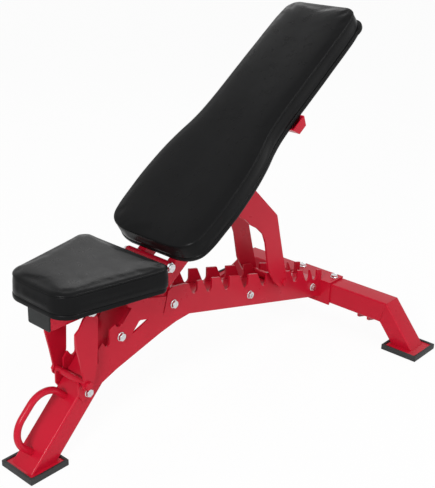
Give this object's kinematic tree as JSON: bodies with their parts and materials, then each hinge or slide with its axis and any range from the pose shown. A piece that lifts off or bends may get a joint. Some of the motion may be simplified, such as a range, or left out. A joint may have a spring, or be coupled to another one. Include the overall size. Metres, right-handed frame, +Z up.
{
  "type": "adjustable weight bench",
  "caption": "Adjustable weight bench: a red steel frame with toothed side plates, a tilting seat and a reclining back, both with black padded cushions, and transport wheels.",
  "frame": {"origin": "middle of the bounding box, on the floor", "axes": "+X along the bench from the front foot to the rear beam, +Y across it, +Z up"},
  "size_m": [1.176, 0.733, 0.8894],
  "materials": {
    "frame_paint": "gloss powder coat",
    "fasteners": "bright zinc plate",
    "rubber": "matt",
    "cap_plastic": "satin",
    "upholstery": "soft sheen vinyl",
    "board": "black-painted plywood"
  },
  "bodies": {
    "frame": {"front_shoe": "rubber", "front_foot_plate": "frame_paint", "front_leg": "frame_paint", "carry_handle": "frame_paint", "seat_ladder_near": "frame_paint", "seat_ladder_far": "frame_paint", "spine": "frame_paint", "back_ladder_near": "frame_paint", "back_ladder_far": "frame_paint", "leg_bolts": "fasteners", "leg_nuts": "fasteners", "spine_bolts": "fasteners", "spine_nuts": "fasteners", "hinge_post_near": "frame_paint", "hinge_post_far": "frame_paint", "main_axle": "fasteners", "axle_nut": "fasteners", "beam_saddle": "frame_paint", "saddle_bolts": "fasteners", "rear_beam": "frame_paint", "rear_leg_near": "frame_paint", "rear_leg_far": "frame_paint", "rear_foot_plate_near": "frame_paint", "rear_foot_plate_far": "frame_paint", "rear_shoe_near": "rubber", "rear_shoe_far": "rubber", "wheel_ears_near": "frame_paint", "wheel_ears_far": "frame_paint", "wheel_bolt_near": "fasteners", "wheel_bolt_far": "fasteners"},
    "seat": {"seat_pad": "upholstery", "seat_board": "board", "seat_tube": "frame_paint", "seat_tube_cap": "cap_plastic", "seat_hinge": "frame_paint", "strut_sleeve": "frame_paint", "seat_screws": "fasteners"},
    "seat_strut": {"strut_plate_near": "frame_paint", "strut_plate_far": "frame_paint", "seat_bar_tube": "frame_paint", "strut_bolt": "fasteners", "strut_nut": "fasteners"},
    "back": {"back_pad": "upholstery", "back_board": "board", "back_rail_near": "frame_paint", "back_rail_far": "frame_paint", "back_sleeve_near": "frame_paint", "back_sleeve_far": "frame_paint", "back_beam": "frame_paint", "arm_sleeve": "frame_paint", "mount_straps": "frame_paint", "upper_bracket": "frame_paint", "back_screws": "fasteners"},
    "back_arm": {"arm_plate_near": "frame_paint", "arm_plate_far": "frame_paint", "catch_bar_tube": "frame_paint", "arm_bolt": "fasteners", "arm_nut": "fasteners"},
    "wheel_near": {"wheel_near": "rubber"},
    "wheel_far": {"wheel_far": "rubber"}
  },
  "joints": [
    {"name": "seat_tilt", "type": "hinge", "parent": "frame", "child": "seat", "pos_m": [-0.1894, 0, 0.382], "axis": [0, 1, 0], "range_deg": [0, 20]},
    {"name": "seat_strut_swing", "type": "hinge", "parent": "seat", "child": "seat_strut", "pos_m": [-0.412, 0, 0.35], "axis": [0, 1, 0], "range_deg": [-20, 0]},
    {"name": "back_recline", "type": "hinge", "parent": "frame", "child": "back", "pos_m": [-0.1894, 0, 0.382], "axis": [0, -1, 0], "range_deg": [0, 48]},
    {"name": "back_arm_swing", "type": "hinge", "parent": "back", "child": "back_arm", "pos_m": [0.06341, 0, 0.52399], "axis": [0, -1, 0], "range_deg": [-38.4, 0]},
    {"name": "wheel_near_spin", "type": "hinge", "parent": "frame", "child": "wheel_near", "pos_m": [0.56, -0.165, 0.042], "axis": [0, 1, 0], "continuous": true},
    {"name": "wheel_far_spin", "type": "hinge", "parent": "frame", "child": "wheel_far", "pos_m": [0.56, 0.165, 0.042], "axis": [0, 1, 0], "continuous": true}
  ],
  "couplings": [
    {"joint": "seat_strut_swing", "follows": "seat_tilt", "ratio": -1},
    {"joint": "back_arm_swing", "follows": "back_recline", "ratio": -0.8}
  ]
}
